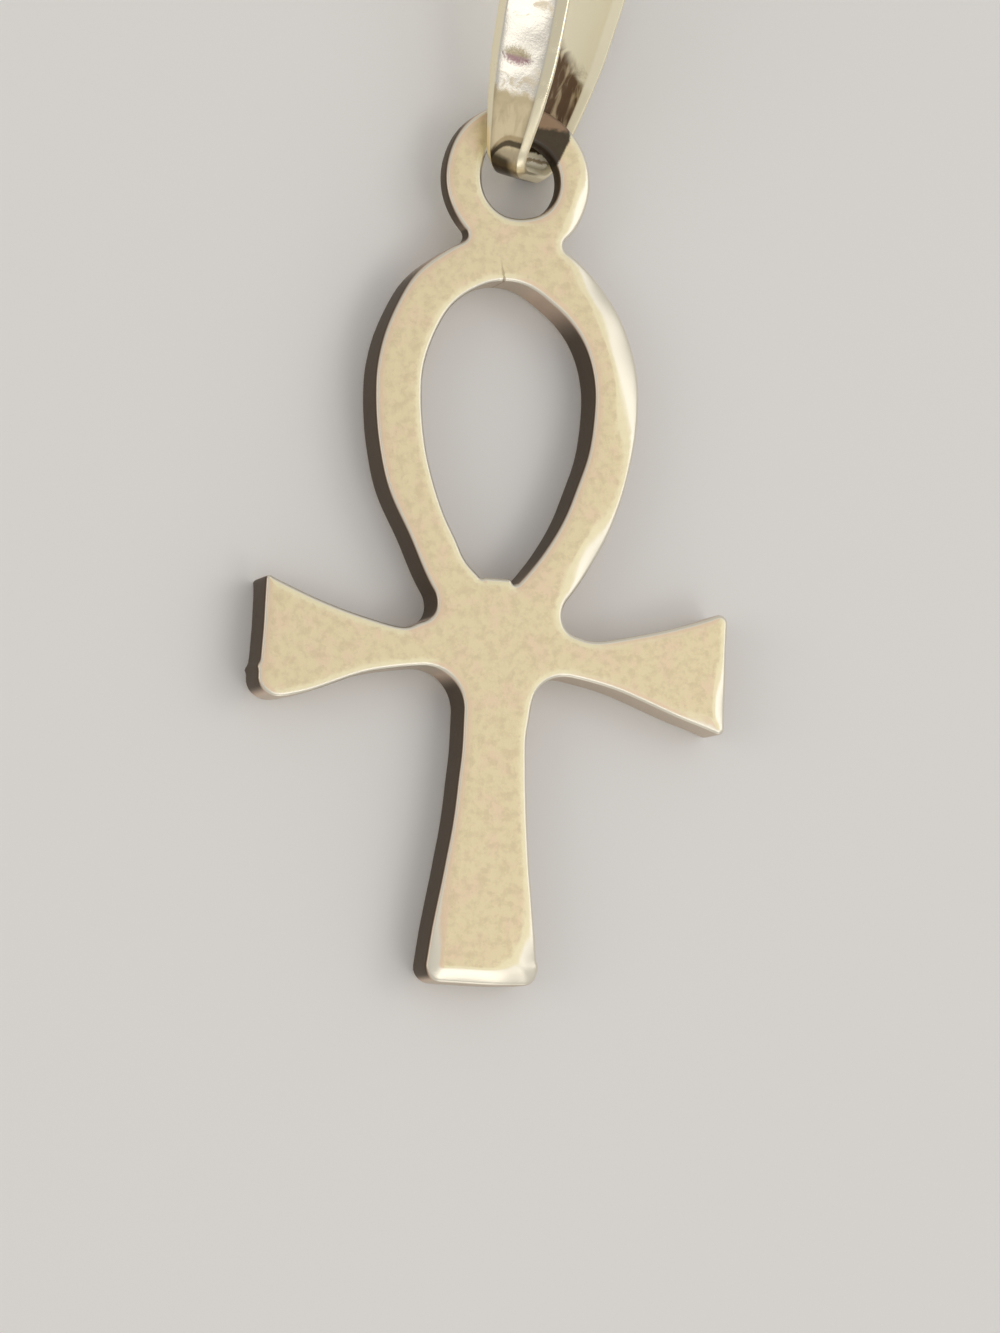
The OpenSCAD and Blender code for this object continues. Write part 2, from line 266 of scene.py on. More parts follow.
def halfOutline(p, c, corners):        # the right half: the body from the foot up, and then the eyelet
    gap = p["pointSpacing"]
    (stem, stemR), (low, lowR), (armLow, armR) = c["stem"], c["lowFillet"], c["armLow"]
    (armHigh, _), (high, highR), (side, sideR) = c["armHigh"], c["highFillet"], c["side"]
    (shoulder, shoulderR), (top, topR) = c["shoulder"], c["top"]
    (waist, waistR), (eye, eyeR) = c["waist"], c["eyelet"]
    endX, bit = p["armSpan"] / 2, 0.02        # bit is a short way round a large circle, in radians

    foot = Vector((p["footWidth"] / 2, 0))
    footCorner = roundCorner(Vector((0, 0)), foot, stem + direction(bearing(stem, foot) - bit) * stemR,
                             corners["foot"])
    lowAngle = math.acos((endX - armLow.x) / armR)
    tipLow = armLow + direction(lowAngle) * armR
    tipHigh = armHigh + direction(-lowAngle) * armR
    before = armLow + direction(lowAngle + bit) * armR
    after = armHigh + direction(-lowAngle - bit) * armR
    lowCorner = roundCorner(before, tipLow, tipHigh, corners["armLow"])
    highCorner = roundCorner(tipLow, tipHigh, after, corners["armHigh"])

    body = line(Vector((0, 0)), footCorner[0], gap) + footCorner
    body += arc(stem, stemR, bearing(stem, footCorner[-1]), bearing(stem, low), gap, -1)[1:]
    body += arc(low, lowR, bearing(stem, low), bearing(armLow, low), gap, -1)
    body += arc(armLow, armR, bearing(armLow, low), bearing(armLow, lowCorner[0]), gap, -1)
    body += lowCorner + line(lowCorner[-1], highCorner[0], gap)[1:] + highCorner
    body += arc(armHigh, armR, bearing(armHigh, highCorner[-1]), bearing(armHigh, high), gap, -1)[1:]
    body += arc(high, highR, bearing(armHigh, high), bearing(high, side), gap, -1)
    body += arc(side, sideR, bearing(side, high), 0, gap)
    body += arc(shoulder, shoulderR, 0, c["shoulderAngle"], gap)
    body += arc(top, topR, c["shoulderAngle"], bearing(top, waist), gap)
    body.append(top + direction(bearing(top, waist)) * topR)
    ring = arc(waist, waistR, bearing(waist, top), bearing(waist, eye), gap / 2, -1)[1:]
    ring += arc(eye, eyeR, bearing(eye, waist), math.pi / 2, gap)
    return body, ring


def mirrored(points):
    return [Vector((-q.x, q.y)) for q in reversed(points)]


def openingHalf(p, c, drop):        # from the top to the lower end, which drops by so much at its corner
    gap, r, shoulderAngle = p["pointSpacing"], p["openFootCorner"], c["shoulderAngle"]
    side, shoulder, top = c["side"][0], c["shoulder"][0], c["top"][0]
    cornerY = p["openFootY"] - drop + r
    cornerX = side.x + math.sqrt((p["sideRadius"] - r) ** 2 - (cornerY - side.y) ** 2)
    corner = Vector((cornerX, cornerY))
    half = arc(top, p["topRadius"], math.pi / 2, shoulderAngle, gap, -1)
    half += arc(shoulder, p["shoulderRadius"], shoulderAngle, 0, gap, -1)
    half += arc(side, p["sideRadius"], 0, bearing(side, corner), gap, -1)
    cornerSpacing = r / 4
    half += arc(corner, r, bearing(side, corner), -math.pi / 2, cornerSpacing, -1)
    steps = p["openFootSteps"]
    for i in range(steps):
        share = 1 - i / steps        # of the way from the middle to the corner
        down = min(1, max(0, share - p["dropFrom"]) / p["dropLength"])
        half.append(Vector((corner.x * share, p["openFootY"] - drop * down * down * (3 - 2 * down))))
    return half + [Vector((0, p["openFootY"]))]


def openingOutline(p, c):        # of the loop's opening, clockwise from its top
    return openingHalf(p, c, p["rightFootDrop"]) + mirrored(openingHalf(p, c, p["leftFootDrop"])[1:-1])


def intoMetal(points):        # unit vectors that point into the metal all along a closed outline
    ways = [(points[(i + 1) % len(points)] - points[i - 1]).normalized() for i in range(len(points))]
    return [Vector((-way.y, way.x)) for way in ways]


def filed(points, p):        # a little uneven, as an outline that is finished by hand
    moved = []
    for q, into in zip(points, intoMetal(points)):
        out = p["unevenness"] * noise.noise(Vector((q.x, q.y, 0)) / p["unevenLength"])
        for b in strays:
            out += b["out"] * math.exp(-((q - Vector((b["x"], b["y"]))).length / b["reach"]) ** 2)
        moved.append(q - into * out)
    return moved


def insets(points, widest):        # how far an edge reaches in at each point, less at a tight corner
    leastSide, shrink, steepest = 0.3, 0.85, 0.5
    count = len(points)
    into = intoMetal(points)
    sides = [points[i] - points[i - 1] for i in range(count)]
    reach = [widest] * count
    tight = range(count)
    while tight:        # until no side of the inner line is much shorter than its side of the outline
        inner = [q + n * d for q, n, d in zip(points, into, reach)]
        tight = [i for i in range(count)
                 if (inner[i] - inner[i - 1]).dot(sides[i]) < leastSide * sides[i].length_squared]
        for i in tight:
            reach[i] *= shrink
            reach[i - 1] *= shrink
        for i in list(range(count)) * 2:
            reach[i] = min(reach[i], reach[i - 1] + steepest * sides[i].length)
        for i in list(reversed(range(count))) * 2:
            reach[i - 1] = min(reach[i - 1], reach[i] + steepest * sides[i].length)
    return reach


def within(polygons, points):        # which points lie inside the first polygon and outside the others
    points = np.array(points)
    odd = np.zeros(len(points), bool)
    for polygon in polygons:
        for a, b in zip(polygon, polygon[1:] + polygon[:1]):
            if a.y != b.y:
                crosses = (a.y > points[:, 1]) != (b.y > points[:, 1])
                odd ^= crosses & (points[:, 0] < (b.x - a.x) * (points[:, 1] - a.y) / (b.y - a.y) + a.x)
    return odd


def nearest(points):        # answers how far it is to the nearest of these points
    tree = kdtree.KDTree(len(points))
    for i, q in enumerate(points):
        tree.insert((q[0], q[1], 0), i)
    tree.balance()
    return lambda x, y: tree.find((x, y, 0))[2]


class Shell:        # points and faces of one closed solid
    def __init__(self):
        self.points = []
        self.faces = []

    def ring(self, outline, into, inset, z):
        first = len(self.points)
        self.points += [(q.x + n.x * d, q.y + n.y * d, z) for q, n, d in zip(outline, into, inset)]
        return list(range(first, len(self.points)))

    def edge(self, outline, into, inset, low, high, steps):        # rings from the wall to the face
        rings = []
        for k in range(steps + 1):
            angle = math.pi / 2 * k / steps
            reach = [d * (1 - math.cos(angle)) for d in inset]
            rings.append(self.ring(outline, into, reach, low + (high - low) * math.sin(angle)))
        return rings

    def join(self, lower, upper, closed=True):
        for i in range(len(lower) if closed else len(lower) - 1):
            k = (i + 1) % len(lower)
            self.faces.append((lower[i], lower[k], upper[k], upper[i]))

    def joinAll(self, rings, closed=True):
        for lower, upper in zip(rings, rings[1:]):
            self.join(lower, upper, closed)

    def cap(self, loops, spacing, facesUp):        # fills a flat face that has holes with even triangles
        z = self.points[loops[0][0]][2]
        polygons = [[Vector(self.points[i][:2]) for i in loop] for loop in loops]
        edge, sides = [], []
        for loop in loops:
            sides += [(len(edge) + i, len(edge) + (i + 1) % len(loop)) for i in range(len(loop))]
            edge += loop
        flat = [q for polygon in polygons for q in polygon]
        low = Vector((min(q.x for q in flat), min(q.y for q in flat)))
        high = Vector((max(q.x for q in flat), max(q.y for q in flat)))
        rowHeight = spacing * math.sqrt(3) / 2
        grid = [(low.x + spacing * (i + row % 2 / 2), low.y + rowHeight * row)
                for row in range(int((high.y - low.y) / rowHeight) + 1)
                for i in range(int((high.x - low.x) / spacing) + 1)]
        distance, margin, closest = nearest(flat), 0.7 * spacing, 1e-6
        inner = [Vector(q) for q, isIn in zip(grid, within(polygons, grid))
                 if isIn and distance(*q) > margin]
        coords, _, triangles, source = delaunay_2d_cdt(flat + inner, sides, [], 0, closest)[:4]
        index = []
        for q, old in zip(coords, source):
            known = [i for i in old if i < len(edge)]
            if not known:
                self.points.append((q.x, q.y, z))
            index.append(edge[known[0]] if known else len(self.points) - 1)
        middles = [(coords[a] + coords[b] + coords[c]) / 3 for a, b, c in triangles]
        for (a, b, c), isIn in zip(triangles, within(polygons, middles)):
            if isIn:
                turnsLeft = (coords[b] - coords[a]).cross(coords[c] - coords[a]) > 0
                self.faces.append([index[i] for i in ((a, b, c) if turnsLeft == facesUp else (a, c, b))])


def wear(p, shell, outer, holes):        # lowers the back face and its rounded edge
    backFrom = p["thickness"] - p["backEdge"] - 0.001
    fromOuter, fromAny = nearest(outer), nearest(outer + holes)
    for i, (x, y, z) in enumerate(shell.points):
        if z > backFrom:
            inFromEdge = fromOuter(x, y)
            sunk = p["leastDrop"] * max(0, 1 - fromAny(x, y) / p["wornWidth"]) ** 2
            for w in wornPlaces:
                here = math.exp(-((x - w["x"]) ** 2 + (y - w["y"]) ** 2) / w["reach"] ** 2)
                sunk += w["drop"] * here * max(0, 1 - inFromEdge / w["width"]) ** p["wearPower"]
            shell.points[i] = (x, y, z - sunk)


def plateShell(p):
    c = plateCircles(p)
    rightBody, rightRing = halfOutline(p, c, p["rightCorners"])
    leftBody, leftRing = [mirrored(points) for points in halfOutline(p, c, p["leftCorners"])]
    (top, topR), (waist, _), (eye, _) = c["top"], c["waist"], c["eyelet"]
    steps, edge = p["edgeSteps"], p["eyeletEdge"]
    faceZ, baseZ = p["thickness"], p["thickness"] - p["eyeletThickness"]
    ringPoints = rightRing + [eye + Vector((0, p["eyelet"] / 2))] + leftRing
    outline = filed(rightBody + ringPoints + leftBody[:-1], p)
    fromRing, toBody = len(rightBody), len(rightBody) + len(ringPoints)
    hidden = arc(top, topR, bearing(top, waist), math.pi - bearing(top, waist), p["pointSpacing"])[1:]
    bodyLine = outline[:fromRing] + hidden + outline[toBody:]

    # Back face and the upper part of the walls, all round
    shell = Shell()
    into = intoMetal(outline)
    backFrom, frontTo = faceZ - p["backEdge"], p["frontEdge"]
    backRings = shell.edge(outline, into, insets(outline, p["backEdge"]), backFrom, faceZ, steps)
    shell.joinAll(backRings)

    # Walls and the front face of the body, which goes on under the eyelet's neck
    bodyInto = intoMetal(bodyLine)
    atBase = shell.ring(bodyLine, bodyInto, [0] * len(bodyLine), baseZ)
    frontRings = shell.edge(bodyLine, bodyInto, insets(bodyLine, frontTo), frontTo, 0, steps)
    shell.joinAll(list(reversed(frontRings)) + [atBase])
    left = fromRing + len(hidden)        # where the body's left part starts in its own line
    wallTop = backRings[0]
    shell.join(atBase[:fromRing - 1], wallTop[:fromRing - 1], closed=False)
    shell.join(atBase[left + 1:] + atBase[:1], wallTop[toBody + 1:] + wallTop[:1], closed=False)

    # Eyelet and its neck, whose lower edge fades out where they meet the body
    eyeletPart = slice(fromRing - 1, toBody + 1)
    free = outline[eyeletPart]
    ends = nearest([free[0], free[-1]])
    fading = [min(edge, ends(q.x, q.y) ** 2) for q in free]
    under = shell.edge(free, into[eyeletPart], fading, baseZ + edge, baseZ, steps)
    under[-1][0], under[-1][-1] = atBase[fromRing - 1], atBase[left]
    shell.joinAll(list(reversed(under)) + [wallTop[eyeletPart]], closed=False)
    rightSide = [ring[0] for ring in under]
    leftSide = [ring[-1] for ring in under]
    shell.faces.append([atBase[fromRing - 2]] + rightSide[::-1]
                       + [wallTop[fromRing - 1], wallTop[fromRing - 2]])
    shell.faces.append(leftSide + [atBase[left + 1], wallTop[toBody + 1], wallTop[toBody]])

    # The two openings
    opening = filed(openingOutline(p, c), p)
    openInto = intoMetal(opening)
    openBack = shell.edge(opening, openInto, insets(opening, p["backEdge"]), backFrom, faceZ, steps)
    openFront = shell.edge(opening, openInto, insets(opening, frontTo), frontTo, 0, steps)
    shell.joinAll(list(reversed(openFront)) + openBack)
    holeMiddle = eye + Vector((p["eyeletHoleX"], 0))
    hole = filed(roundHole(holeMiddle, p["eyeletHole"] / 2, p["pointSpacing"]), p)
    holeInto = intoMetal(hole)
    holeBack = shell.edge(hole, holeInto, [edge] * len(hole), faceZ - edge, faceZ, steps)
    holeUnder = shell.edge(hole, holeInto, [edge] * len(hole), baseZ + edge, baseZ, steps)
    shell.joinAll(list(reversed(holeUnder)) + holeBack)

    # Faces
    shell.cap([backRings[-1], openBack[-1], holeBack[-1]], p["backSpacing"], True)
    shell.cap([frontRings[-1], openFront[-1]], p["frontSpacing"], False)
    shell.cap([under[-1] + atBase[fromRing:left][::-1], holeUnder[-1]], p["frontSpacing"], False)
    wear(p, shell, outline, opening + hole)
    return shell


def meshPiece(name, shell):        # points that no face uses are left out
    mesh = bpy.data.meshes.new(name)
    mesh.from_pydata([(x * mm, (y + footY) * mm, z * mm) for x, y, z in shell.points], [], shell.faces)
    used = np.zeros(len(mesh.vertices), bool)
    used[[v for polygon in mesh.polygons for v in polygon.vertices]] = True
    if not used.all():
        spare = bmesh.new()
        spare.from_mesh(mesh)
        bmesh.ops.delete(spare, geom=[v for v in spare.verts if not v.link_faces], context="VERTS")
        spare.to_mesh(mesh)
        spare.free()
    mesh.shade_smooth()
    piece = bpy.data.objects.new(name, mesh)
    bpy.context.scene.collection.objects.link(piece)
    return piece


# The bail: one ribbon, bent round and closed by solder at its lower end

bail = {
    "length": 8.4, "topRadius": 2.0, "bendRadius": 0.5, "clearance": 0.04,
    "lowWidth": 1.0, "highWidth": 2.1, "widening": 4.4, "thickness": 0.4, "squareness": 6.0,
    "crown": 0.03, "facetFrom": 0.72, "outerFacet": 0.12, "innerFacet": 0.09,        # along both edges
    "unevenness": 0.03, "unevenSize": 1.3, "evenBelow": 1.2, "unevenAbove": 3.0,
    "twist": 38, "pitch": 14, "lean": 8, "seatX": 0.1, "seatY": 0.13, "seatZ": 0.17,
    "pathSpacing": 0.03, "pathPoints": 260, "profilePoints": 64,
}

# Inputs of the ribbon's node tree, with the names of their values
ribbonLengths = {
    "Low Width": "lowWidth", "High Width": "highWidth", "Widening Length": "widening",
    "Thickness": "thickness", "Crown": "crown", "Outer Facet": "outerFacet", "Inner Facet": "innerFacet",
    "Unevenness": "unevenness", "Uneven Size": "unevenSize",
    "Even Below": "evenBelow", "Uneven Above": "unevenAbove",
}
ribbonShares = {"Squareness": "squareness", "Facet Start": "facetFrom"}
ribbonCounts = {"Path Points": "pathPoints", "Profile Points": "profilePoints"}


def ribbonHalf(b, y):        # half the ribbon's width at this height
    grown = math.sin(math.pi / 2 * min(1, y / b["widening"]))
    return (b["lowWidth"] + (b["highWidth"] - b["lowWidth"]) * grown) / 2


def bailPath(b, p):        # closed inner line of the ribbon, as (depth, height over the lower end)
    twist, pitch = math.radians(b["twist"]), math.radians(b["pitch"])
    crossingY = (p["eyelet"] + p["eyeletHole"]) / 4 - b["seatY"]
    rise = (p["eyelet"] - p["eyeletHole"]) / 4 * math.tan(pitch)
    reach = ribbonHalf(b, crossingY) * math.sin(twist)
    legGap = (p["eyeletThickness"] / 2 + b["clearance"] + rise + reach) / math.cos(twist)
    bendY, topY = b["thickness"] + b["bendRadius"], b["length"] - b["thickness"] - b["topRadius"]
    legAngle = -math.asin((b["topRadius"] - legGap) / (topY - crossingY))
    bendZ = (b["topRadius"] - b["bendRadius"] + (topY - bendY) * math.sin(legAngle)) / math.cos(legAngle)
    bend, top, gap = Vector((bendZ, bendY)), Vector((0, topY)), b["pathSpacing"]
    out = direction(legAngle)
    half = [Vector((0, b["thickness"]))] + arc(bend, b["bendRadius"], -math.pi / 2, legAngle, gap)
    half += line(bend + out * b["bendRadius"], top + out * b["topRadius"], gap)
    half += arc(top, b["topRadius"], legAngle, math.pi / 2, gap) + [top + Vector((0, b["topRadius"]))]
    return half + mirrored(half[1:-1])


def bailPose(b, p):        # turned, lifted and leaned, with its legs on either side of the eyelet
    pitch = math.radians(b["pitch"])
    crossingY = (p["eyelet"] + p["eyeletHole"]) / 4 - b["seatY"]
    at = Vector((b["seatX"], plateCircles(p)["eyelet"][0].y + b["seatY"] + footY,
                 p["thickness"] - p["eyeletThickness"] / 2 - crossingY * math.sin(pitch) + b["seatZ"]))
    turn = (Matrix.Rotation(math.radians(-b["lean"]), 4, "Z") @ Matrix.Rotation(pitch, 4, "X")
            @ Matrix.Rotation(math.radians(-b["twist"]), 4, "Y"))
    return Matrix.Translation(at * mm) @ turn


def ribbonTree():
    tree = bpy.data.node_groups.new("ribbonAlongPath", "GeometryNodeTree")
    tree.interface.new_socket("Path", in_out="INPUT", socket_type="NodeSocketGeometry")
    for name in [*ribbonLengths, *ribbonShares]:
        tree.interface.new_socket(name, in_out="INPUT", socket_type="NodeSocketFloat")
    for name in ribbonCounts:
        tree.interface.new_socket(name, in_out="INPUT", socket_type="NodeSocketInt")
    tree.interface.new_socket("Material", in_out="INPUT", socket_type="NodeSocketMaterial")
    tree.interface.new_socket("Ribbon", in_out="OUTPUT", socket_type="NodeSocketGeometry")
    graph = Graph(tree)
    entry = tree.nodes.new("NodeGroupInput")
    given = {socket.name: Wire(graph, socket) for socket in entry.outputs if socket.name}

    def placed(x, y, z):
        return graph.node("ShaderNodeCombineXYZ", {}, {0: x, 1: y, 2: z})

    def stored(geometry, name, value, kind="FLOAT"):
        return graph.node("GeometryNodeStoreNamedAttribute", {"data_type": kind, "domain": "POINT"},
                          {"Geometry": geometry, "Name": name, 3: value})

    # Profile: a rounded rectangle of half width 1, which gets thinner along facets at its two edges
    circle = graph.node("GeometryNodeCurvePrimitiveCircle", {},
                        {"Resolution": given["Profile Points"], "Radius": 1.0})
    spot = graph.node("GeometryNodeInputPosition")
    across, through = graph.split(spot, 0), graph.split(spot, 1)
    power = 2 / given["Squareness"]
    wide = (abs(across) ** power) * across.sign()
    deep = (abs(through) ** power) * through.sign()
    share = deep * 0.5 + 0.5        # 0 on the inner side and 1 on the outer side
    slope = graph.node("ShaderNodeMapRange", {}, {0: abs(wide), 1: given["Facet Start"], 2: 1.0})
    inner = given["Inner Facet"] * slope
    outer = given["Thickness"] - given["Crown"] * wide * wide - given["Outer Facet"] * slope
    profile = stored(stored(circle, "outside", share), "across", wide)
    profile = graph.node("GeometryNodeSetPosition", {}, {
        "Geometry": profile, "Position": placed(wide, inner + share * (outer - inner), 0.0)})

    # Ribbon: the profile swept along the path and widened by its rule
    path = graph.node("GeometryNodeResampleCurve", {}, {
        "Curve": given["Path"], "Count": given["Path Points"]})
    path = graph.node("GeometryNodeSetCurveNormal", {"mode": "FREE"}, {
        "Curve": path, "Normal": (1.0, 0.0, 0.0)})
    ribbon = graph.node("GeometryNodeCurveToMesh", {}, {"Curve": path, "Profile Curve": profile})
    spot = graph.node("GeometryNodeInputPosition")
    x, y, z = [graph.split(spot, axis) for axis in range(3)]
    grown = (math.pi / 2 * (y / given["Widening Length"]).least(1.0)).sine()
    half = (given["Low Width"] + (given["High Width"] - given["Low Width"]) * grown) * 0.5
    ribbon = graph.node("GeometryNodeSetPosition", {}, {
        "Geometry": ribbon, "Position": placed(x * half, y, z)})

    # Its surface is a little uneven, but for the end inside the eyelet
    spot = graph.node("GeometryNodeInputPosition")
    ribbon = stored(ribbon, "onBail", spot, "FLOAT_VECTOR")
    rough = graph.node("ShaderNodeTexNoise", {}, {
        "Vector": spot, "Scale": 1 / given["Uneven Size"], "Detail": 1.0})
    free = graph.smooth(graph.split(spot, 1), given["Even Below"], given["Uneven Above"])
    push = (rough - 0.5) * given["Unevenness"] * 2 * free
    offset = graph.node("ShaderNodeVectorMath", {"operation": "SCALE"},
                        {0: graph.node("GeometryNodeInputNormal"), "Scale": push})
    ribbon = graph.node("GeometryNodeSetPosition", {}, {"Geometry": ribbon, "Offset": offset})
    ribbon = graph.node("GeometryNodeSetShadeSmooth", {}, {"Geometry": ribbon})
    ribbon = graph.node("GeometryNodeRealizeInstances", {}, {"Geometry": ribbon})
    ribbon = graph.node("GeometryNodeSetMaterial", {}, {
        "Geometry": ribbon, "Material": given["Material"]})
    result = tree.nodes.new("NodeGroupOutput")
    tree.links.new(ribbon.socket, result.inputs[0])
    return tree


def makeBail(b, p, material):
    curve = bpy.data.curves.new("bailPath", "CURVE")
    curve.dimensions = "3D"
    spline = curve.splines.new("POLY")
    path = list(reversed(bailPath(b, p)))        # this way round the profile's outer side faces out
    spline.points.add(len(path) - 1)
    for point, q in zip(spline.points, path):
        point.co = (0, q.y * mm, q.x * mm, 1)
    spline.use_cyclic_u = True
    holder = bpy.data.objects.new("bailPath", curve)
    bpy.context.scene.collection.objects.link(holder)
    tree = ribbonTree()
    modifier = holder.modifiers.new("ribbon", "NODES")
    modifier.node_group = tree
    values = {name: b[key] * mm for name, key in ribbonLengths.items()}
    values |= {name: b[key] for name, key in (ribbonShares | ribbonCounts).items()}
    values["Material"] = material
    for item in tree.interface.items_tree:
        if item.in_out == "INPUT" and item.name in values:
            modifier[item.identifier] = values[item.name]
    ready = holder.evaluated_get(bpy.context.evaluated_depsgraph_get())
    mesh = bpy.data.meshes.new_from_object(ready)
    mesh.name = "bail"
    bpy.data.objects.remove(holder)
    mesh.transform(bailPose(b, p))
    for vertex in mesh.vertices:        # the edge that touches the floor lies flat on it
        vertex.co.z = max(vertex.co.z, 0)
    piece = bpy.data.objects.new("bailRibbon", mesh)
    bpy.context.scene.collection.objects.link(piece)
    return piece


# Finishes

# Where a value is a pair of numbers, its finish begins at the first and is full at the second.
# Sizes and places are in mm, Part is a value of a pattern, and Facing is how far a surface faces
# up or, for the left walls and rims, to the right.
satin = {
    "cream": (0.84, 0.73, 0.48, 1), "tan": (0.66, 0.55, 0.35, 1), "rose": (0.86, 0.67, 0.49, 1),
    # The wall colour, and darkest the left rim and left wall colours, are painted shade
    "rim": (0.90, 0.84, 0.58, 1), "edge": (0.87, 0.82, 0.69, 1), "wall": (0.62, 0.52, 0.42, 1),
    "leftRimShade": (0.80, 0.60, 0.46, 1), "leftWallShade": (0.10, 0.075, 0.05, 1),
    "seam": (0.40, 0.30, 0.17, 1), "brown": (0.30, 0.19, 0.12, 1), "black": (0.035, 0.025, 0.018, 1),
    "blotchSize": 0.3, "sandSize": 0.06, "roseSize": 0.8,
    "tanPart": (0.42, 0.66), "tanShare": 0.5, "rosePart": (0.48, 0.66), "roseShare": 0.6,
    # A tilting rim is a paler painted highlight, and rose painted shade where it faces left; a steeper
    # edge is a whiter painted highlight
    "rimFacing": (0.9998, 0.998), "rimShare": 0.75, "rimWaver": 0.002, "roseRimFacing": (0.0, -0.03),
    "edgeFacing": (0.996, 0.988), "wallFacing": (0.72, 0.3), "wallShare": 0.75, "wallSand": 0.3,
    "frontFacing": (0.0, -0.5), "leftRimFacing": (-0.3, -0.6), "leftRimShare": 0.7,
    "leftWallFacing": (-0.45, -0.85), "leftWallPaint": 0.5,        # how little the left walls mirror, which keeps their painted shade dark
    "faceRoughness": 0.46, "edgeRoughness": 0.34, "wallRoughness": 0.42, "frontRoughness": 0.16,
    "sandRoughness": 0.18, "blotchRoughness": 0.08,
    "bumpHeight": 0.006, "sandHeight": 0.7, "blotchHeight": 1.2, "edgeHeight": 0.15, "seamDepth": 2,
}

# A fine seam across the loop's top, from its lower to its upper end
seam = {"low": (-0.28, 20.0), "high": (-0.5, 20.85), "start": (19.7, 19.9), "width": 0.05, "waver": 0.06,
        "share": 0.8}

# A dark patch on the eyelet to the right of the bail's front leg, black below and brown above
eyeletDarkPatch = {
    "fromX": (0.15, 0.25), "toX": 1.5, "soft": (0.04, -0.04), "waver": 0.08,
    "cornerY": 24.35, "slant": 0.45, "fromY": (23.45, 23.65),
    "blackY": (24.68, 24.54), "blackWaver": 0.3, "share": 0.93,
}

# On the bail, x runs across the ribbon and y from its lower end
polished = {
    "gold": (0.78, 0.74, 0.65, 1), "facet": (0.95, 0.87, 0.64, 1), "dull": (0.60, 0.50, 0.33, 1),
    "tan": (0.62, 0.52, 0.34, 1), "smudge": (0.20, 0.09, 0.11, 1), "olive": (0.30, 0.25, 0.14, 1),
    # The two dark browns are painted shade, on the inner side and at the bend; pale is a painted
    # highlight on the inner side
    "innerShade": (0.17, 0.11, 0.07, 1), "deepShade": (0.05, 0.035, 0.02, 1),
    "streak": (0.75, 0.62, 0.42, 1), "pale": (1.0, 0.94, 0.73, 1), "solder": (0.95, 0.90, 0.74, 1),
    "bronze": (0.34, 0.25, 0.13, 1),
    "patchSize": 0.55, "scratchSize": 0.06, "streakSize": 0.2, "streakStretch": (1.0, 0.18, 1.0),
    "wander": 0.9,        # how far the patches move the limits of the stains
    "facetFrom": (0.69, 0.75),        # shares of the half width, where the paler facets begin: painted highlight
    "dullPart": (0.54, 0.66), "dullShare": 0.6,
    # The tan lower end, mottled with olive, is painted shade
    "tanY": (2.5, 2.2), "mottledPart": (0.46, 0.62), "mottledShare": 0.25,
    "shadeY": (1.75, 2.15), "shadeShare": 0.35,        # a darker band of painted shade where the tan begins
    "smudgeAt": (-0.12, 3.35), "smudgeSize": (0.42, 0.26), "smudgePart": (1.5, 0.2), "smudgeWaver": 2,
    "smudgeTurn": (0.2, -0.3), "smudgeShare": 0.85,
    "roughness": 0.16, "dullRoughness": 0.34, "patchDullness": 0.7, "tanDullness": 0.8,
    "innerRoughness": 0.15, "scratchRoughness": 0.08,
    "bumpHeight": 0.002, "scratchHeight": 0.5, "patchHeight": 2.0,
}

# Painted shade at the bend, for the dark surroundings that it mirrors: a curve across the front leg,
# with dark painted shade in its left corner and at the end
bendShade = {
    "topX": 0.15, "topY": 1.12, "curve": 1.6, "waver": 0.05,
    "bronzeAt": 0.07, "bronzeLine": (0.12, 0.04), "bronzeShare": 0.7,        # down from the curve
    "darkAt": 0.22, "darkLine": (0.12, 0.05), "darkShare": 0.9,
    "cornerX": (-0.15, -0.4), "cornerBelow": (0.0, 0.1), "cornerWander": 0.3,
    "endX": (0.35, 0.05), "endY": (0.58, 0.38), "endSlant": 0.25, "endWander": 0.2,
}

# The bail's inner side: painted shade in streaks, darker painted shade and then solder below, and a pale
# painted highlight towards its upper end
innerSide = {
    "streakPart": (0.52, 0.7), "streakShare": 0.7, "darkY": (1.66, 1.56), "darkWander": 0.15,
    "solderY": (0.85, 0.79), "solderWaver": 0.3,
    "solderLineY": 0.63, "solderLine": (0.08, 0.02), "lineWaver": 0.25, "lineShare": 0.85,
    "paleY": (3.5, 4.0), "paleSlant": 0.9,
    "begins": (0.4, 0.1),        # shares of the way through to the outer side
    "palePaint": 0.6, "facetPaint": 0.5,        # how little the pale painted highlight and the inner facets mirror
}


def startMaterial(name):
    material = bpy.data.materials.new(name)
    material.use_nodes = True
    material.node_tree.nodes.clear()
    return material, Graph(material.node_tree)


def endMaterial(graph, colour, roughness, height, distance, metallic=1.0):
    bump = graph.node("ShaderNodeBump", {}, {
        "Strength": 1.0, "Distance": distance * mm, "Height": height})
    shader = graph.node("ShaderNodeBsdfPrincipled", {}, {
        "Base Color": colour, "Metallic": metallic, "Roughness": roughness, "IOR": 1.15,
        "Normal": bump})
    graph.node("ShaderNodeOutputMaterial", {}, {"Surface": shader})


def seamMask(graph, s, x, y, sand):
    (lowX, lowY), (highX, highY) = s["low"], s["high"]
    off = x - (y - lowY) * ((highX - lowX) / (highY - lowY)) - lowX + (sand - 0.5) * s["waver"]
    along = graph.smooth(y, highY, lowY) * graph.smooth(y, *s["start"])
    return graph.smooth(abs(off), s["width"], 0.0) * along


def eyeletDarkPatchMask(graph, s, x, y, sand):
    reach = (y - s["cornerY"]).least(0.0) * s["slant"] + s["toX"] + (sand - 0.5) * s["waver"]
    sides = graph.smooth(x - reach, *s["soft"]) * graph.smooth(x, *s["fromX"])
    return sides * graph.smooth(y, *s["fromY"]) * s["share"]


